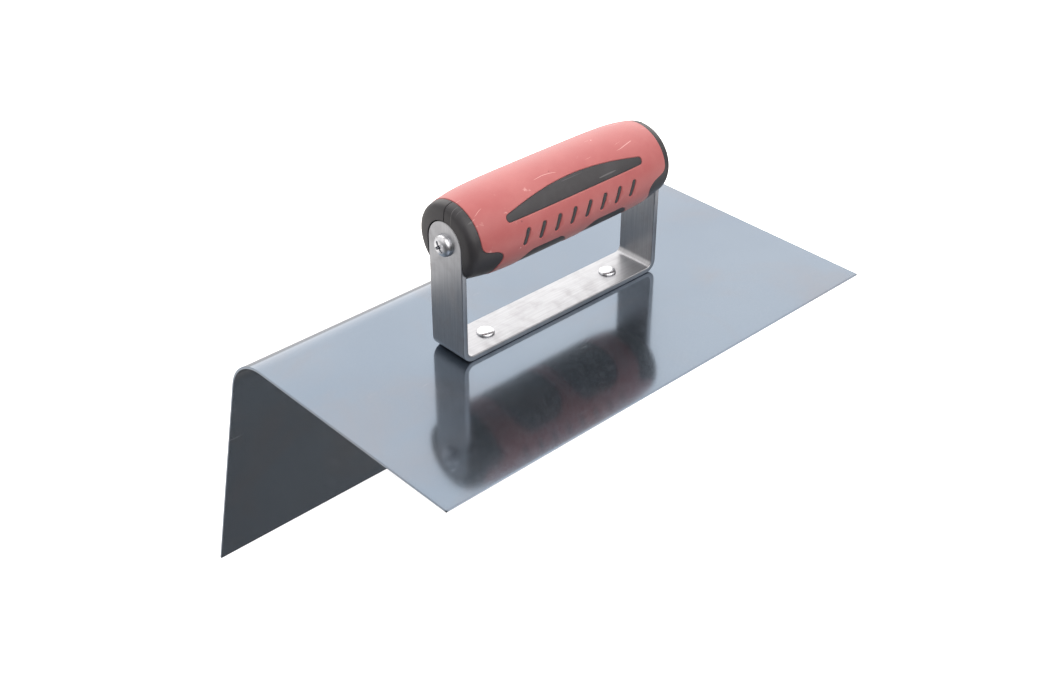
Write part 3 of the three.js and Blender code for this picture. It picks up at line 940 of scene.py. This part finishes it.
def blued_steel():
    """Blued sheet with soft clouds, faint brown stains, hairline scratches and dust.

    Its grain of smooth and rough points gives both a clear reflection and a haze round it."""
    blue, deep_blue = shade(0.165, 0.202, 0.248), shade(0.150, 0.186, 0.233)
    brown, bare, pale_dust = shade(0.180, 0.181, 0.197), shade(0.30, 0.32, 0.35), shade(0.40, 0.40, 0.41)
    s = Shader("blued_steel", metallic=0.94)
    place = s.flat_map()
    cloud = s.ranged(s.noise(place, 9, detail=3), 0.35, 0.7)
    stain = s.ranged(s.noise(place, 16, detail=5, rough=0.65, distortion=0.8), 0.45, 0.7)
    lines = s.calc("MAXIMUM", s.scratches(place, 0.5, 2400, 0.80), s.scratches(place, -0.9, 2100, 0.80))
    lines = s.calc("MAXIMUM", lines, s.scratches(place, 1.7, 1800, 0.79))
    dust = s.specks(place, 90, radius=0.00028, share=0.14)
    colour = s.tinted(s.mixed(cloud, blue, deep_blue), stain, 0.4, brown)
    colour = s.mixed(dust, s.tinted(colour, lines, 0.25, bare), pale_dust)
    grain = s.ranged(s.noise(place, 5000, detail=1), 0.57, 0.65)
    smudge = s.ranged(s.noise(place, 26, detail=4, rough=0.6, distortion=0.6), 0.48, 0.75)
    rough = s.plus(s.plus(0.10, grain, 0.33), smudge, 0.04)
    rough = s.plus(rough, s.calc("MAXIMUM", lines, dust), 0.25)
    waves = s.bump(s.noise(place, 22, detail=1), 0.00005)
    return s.done(colour, rough, s.bump(lines, 0.000004, waves))


def strap_steel():
    """Bright strip, brushed along its length, with cloudy stains and a few dark pits."""
    dark_brush, bright_brush = shade(0.335, 0.345, 0.365), shade(0.41, 0.42, 0.44)
    stain_grey, pit_black = shade(0.28, 0.275, 0.29), shade(0.12, 0.11, 0.11)
    s = Shader("strap_steel", metallic=1.0)
    along = s.flat_map()
    fine = s.noise(s.turned(along, (70, 5200, 1)), 1.0)
    broad = s.noise(s.turned(along, (28, 1100, 1)), 1.0)
    brush = s.calc("ADD", s.calc("MULTIPLY", fine, 0.5), s.calc("MULTIPLY", broad, 0.5))
    stain = s.ranged(s.noise(along, 130, detail=4, rough=0.6, distortion=0.4), 0.42, 0.75)
    pits = s.specks(along, 260, radius=0.00035, share=0.02)
    colour = s.mixed(s.ranged(brush, 0.35, 0.65), dark_brush, bright_brush)
    colour = s.mixed(pits, s.tinted(colour, stain, 0.35, stain_grey), pit_black)
    rough = s.plus(s.plus(0.27, brush, 0.16), stain, 0.1)
    return s.done(colour, rough, s.bump(brush, 0.00002))


def fastener_steel():
    """Plated rivets and screws, finely mottled."""
    bright, dull = shade(0.72, 0.73, 0.76), shade(0.55, 0.57, 0.61)
    s = Shader("fastener_steel", metallic=1.0)
    place = s.place()
    mottle = s.noise(place, 420, detail=4, rough=0.6)
    colour = s.mixed(s.ranged(mottle, 0.35, 0.7), bright, dull)
    return s.done(colour, s.plus(0.2, mottle, 0.22), s.bump(s.noise(place, 900, detail=3), 0.00003))


def core_plastic():
    """Hard black plastic with a fine moulded grain, pale scratches and specks."""
    black, worn_black = shade(0.034, 0.033, 0.037), shade(0.048, 0.047, 0.052)
    pale_mark = shade(0.16, 0.16, 0.165)
    s = Shader("core_plastic", specular_ior_level=0.36)
    place = s.place()
    cloud = s.ranged(s.noise(place, 90, detail=4, rough=0.6), 0.4, 0.75)
    specks = s.specks(place, 230, radius=0.0003, share=0.05)
    marks = s.calc("MAXIMUM", s.scratches(place, 0.8, 1500, 0.70), specks)
    colour = s.tinted(s.mixed(cloud, black, worn_black), marks, 0.5, pale_mark)
    grain = s.noise(place, 2600, detail=3, rough=0.6)
    return s.done(colour, s.plus(0.40, cloud, 0.12), s.bump(grain, 0.00004))


def grip_rubber():
    """Soft red rubber, slightly cloudy, with pale scuffs, bent scratches and specks of dirt."""
    red, worn_red = shade(0.395, 0.097, 0.097), shade(0.435, 0.128, 0.126)
    pale_scuff, dark_dirt = shade(0.85, 0.58, 0.56), shade(0.20, 0.05, 0.05)
    s = Shader("grip_rubber", specular_ior_level=0.45, sheen_weight=0.2, sheen_roughness=0.5)
    place = s.place()
    cloud = s.ranged(s.noise(place, 55, detail=4, rough=0.6), 0.35, 0.75)
    bent = s.warped(place, 45, reach=0.012)
    scuff = s.ranged(s.noise(place, 150, detail=5, rough=0.7, distortion=1.2), 0.62, 0.72)
    scuff = s.calc("MULTIPLY", scuff, s.ranged(s.noise(place, 38), 0.5, 0.65))
    specks = s.specks(place, 170, radius=0.0005, share=0.05)
    marks = s.calc("MAXIMUM", s.scratches(bent, 0.9, 1300, 0.72), specks)
    pale = s.calc("MAXIMUM", s.calc("MULTIPLY", scuff, 0.35), s.calc("MULTIPLY", marks, 0.5))
    dirt = s.specks(place, 120, radius=0.0004, share=0.03)
    colour = s.mixed(pale, s.mixed(cloud, red, worn_red), pale_scuff)
    colour = s.tinted(colour, dirt, 0.8, dark_dirt)
    grain = s.bump(s.noise(place, 2200, detail=3, rough=0.6), 0.00005)
    return s.done(colour, s.plus(0.44, cloud, 0.10), s.bump(pale, 0.00002, grain))


def floor_paint():
    """Nearly white paper that gives off most of its own light, so that shadows on it stay faint."""
    s = Shader(
        "studio_floor", roughness=0.9, specular_ior_level=0.1,
        emission_color=shade(1, 1, 1), emission_strength=0.7)
    paper = s.noise(s.place(), 40, detail=3)
    return s.done(s.mixed(paper, shade(0.90, 0.90, 0.90), shade(0.92, 0.92, 0.92)))


# ---- studio

CAMERA_AT = Vector((-0.3918, -0.4089, 0.3603))
CAMERA_BACK = Vector((-0.5613, -0.6087, 0.5607)).normalized()
CAMERA_UP = Vector((0.380, 0.412, 0.828))
CAMERA_LENS = 50.34
SENSOR_WIDTH = 36

# The studio's light: (direction, cosine where a glow starts, cosine where it is full, strength outside
# the glow, strength it rises to). The camera looks along (0.56, 0.61, -0.56), with the tool's plate
# flat and its second leg behind it.
ABOVE_HORIZON = (
    ((0.56, 0.61, 0.56), 0.55, 0.85, 0.25, 2.4),    # the key light, which the plate reflects
    ((0, 0, 1), 0.72, 0.95, 0, 0.05),               # a little from overhead
    ((-0.1, -0.7, 0.7), 0.7, 0.97, 0, 2.6),         # for the front and top of the grip
    ((0.56, -0.61, 0.56), 0.92, 0.97, 0, 1.4),      # for the rounded upper edges at the front
    ((-0.62, 0.58, 0.53), 0.6, 0.92, 0, 0.95),      # for the strap's left leg and its screw
)
BELOW_HORIZON = (
    ((0, 0.91, -0.41), 0.55, 0.8, 0.14, 1.0),       # a low even light, stronger from behind
    ((0.5, -0.15, -0.85), 0.5, 0.9, 0, 0.1),        # for the inner face of the second leg
    ((0.56, -0.61, -0.56), 0.91, 0.96, 0, 2.2),     # for edges that face the front
    ((0.56, 0.61, -0.56), 0.93, 0.98, 0, 1.2),      # for outlines seen at a grazing angle
    ((-0.56, 0.61, -0.56), 0.75, 0.95, 0, 0.5),     # for the strap's left leg
)
HORIZON_BLUR = 0.04
SEEN_STRENGTH = 1.04
SKY_TINT = (1.04, 1, 0.97)

FLOOR_R = 6
FLOOR_GAP = 0.0003


def camera():
    data = bpy.data.cameras.new("Camera")
    data.lens = CAMERA_LENS
    data.sensor_width = SENSOR_WIDTH
    eye = bpy.data.objects.new("Camera", data)
    right = CAMERA_UP.cross(CAMERA_BACK).normalized()
    up = CAMERA_BACK.cross(right)
    turn = Matrix((right, up, CAMERA_BACK)).transposed().to_4x4()
    eye.matrix_world = Matrix.Translation(CAMERA_AT) @ turn
    bpy.context.scene.collection.objects.link(eye)
    bpy.context.scene.camera = eye


def sky():
    """Soft light from all round, made of the glows above and below the horizon.

    The camera itself sees an even white."""
    world = bpy.data.worlds.new("Studio")
    bpy.context.scene.world = world
    world.use_nodes = True
    nodes, links = world.node_tree.nodes, world.node_tree.links
    direction = nodes.new("ShaderNodeTexCoord").outputs["Generated"]

    def calc(operation, a, b):
        node = nodes.new("ShaderNodeMath")
        node.operation = operation
        for socket, value in zip(node.inputs, (a, b)):
            if isinstance(value, bpy.types.NodeSocket):
                links.new(value, socket)
            else:
                socket.default_value = value
        return node.outputs[0]

    def glow(towards, low, high, dark, bright):
        """Light that rises from dark to bright as the direction nears towards."""
        dot = nodes.new("ShaderNodeVectorMath")
        dot.operation = "DOT_PRODUCT"
        links.new(direction, dot.inputs[0])
        dot.inputs[1].default_value = Vector(towards).normalized()
        ramp = nodes.new("ShaderNodeMapRange")
        ramp.interpolation_type = "SMOOTHSTEP"
        links.new(dot.outputs["Value"], ramp.inputs[0])
        for socket, value in zip(ramp.inputs[1:5], (low, high, dark, bright)):
            socket.default_value = value
        return ramp.outputs[0]

    def total(glows):
        return reduce(lambda light, more: calc("ADD", light, more), [glow(*values) for values in glows])

    def blended(share, low, high):
        rest = calc("SUBTRACT", 1.0, share)
        return calc("ADD", calc("MULTIPLY", high, share), calc("MULTIPLY", low, rest))

    upper = glow((0, 0, 1), -HORIZON_BLUR, HORIZON_BLUR, 0, 1)
    light = blended(upper, total(BELOW_HORIZON), total(ABOVE_HORIZON))
    seen = nodes.new("ShaderNodeLightPath").outputs["Is Camera Ray"]
    background = nodes["Background"]
    links.new(blended(seen, light, SEEN_STRENGTH), background.inputs["Strength"])
    background.inputs["Color"].default_value = shade(*SKY_TINT)


def studio_floor():
    """A floor just under the tool, seen by the camera only. The lower sky stands in for its bounce."""
    mesh = bmesh.new()
    bmesh.ops.create_circle(mesh, cap_ends=True, segments=64, radius=FLOOR_R)
    data = bpy.data.meshes.new("studio_floor")
    mesh.to_mesh(data)
    mesh.free()
    data.materials.append(floor_paint())
    floor = bpy.data.objects.new("studio_floor", data)
    floor.location.z = cad_bounds[0].z - FLOOR_GAP
    floor.visible_glossy = False
    floor.visible_diffuse = False
    bpy.context.scene.collection.objects.link(floor)


# ---- assembly

camera()
sky()
studio_floor()
bpy.context.scene.view_settings.view_transform = "Standard"

finished(blade(), "blade_sheet", blued_steel(), "blued_steel", "blade")
finished(bracket(), "bracket_strap", strap_steel(), "strap_steel", "handle_bracket")
bright = fastener_steel()
finished(rivet(-RIVET_X), "left_rivet", bright, "fastener_steel", "rivet_left")
finished(rivet(RIVET_X), "right_rivet", bright, "fastener_steel", "rivet_right")
finished(screw(-1), "left_screw", bright, "fastener_steel", "screw_left")
finished(screw(1), "right_screw", bright, "fastener_steel", "screw_right")
black = core_plastic()
front_core = core_half()
back_core = front_core.copy()
bmesh.ops.scale(back_core, vec=(1, -1, 1), verts=back_core.verts)
finished(front_core, "front_core", black, "core_plastic", "core_front_shell")
finished(back_core, "back_core", black, "core_plastic", "core_back_shell")
finished(sleeve(), "soft_sleeve", grip_rubber(), "grip_rubber", "grip_sleeve")
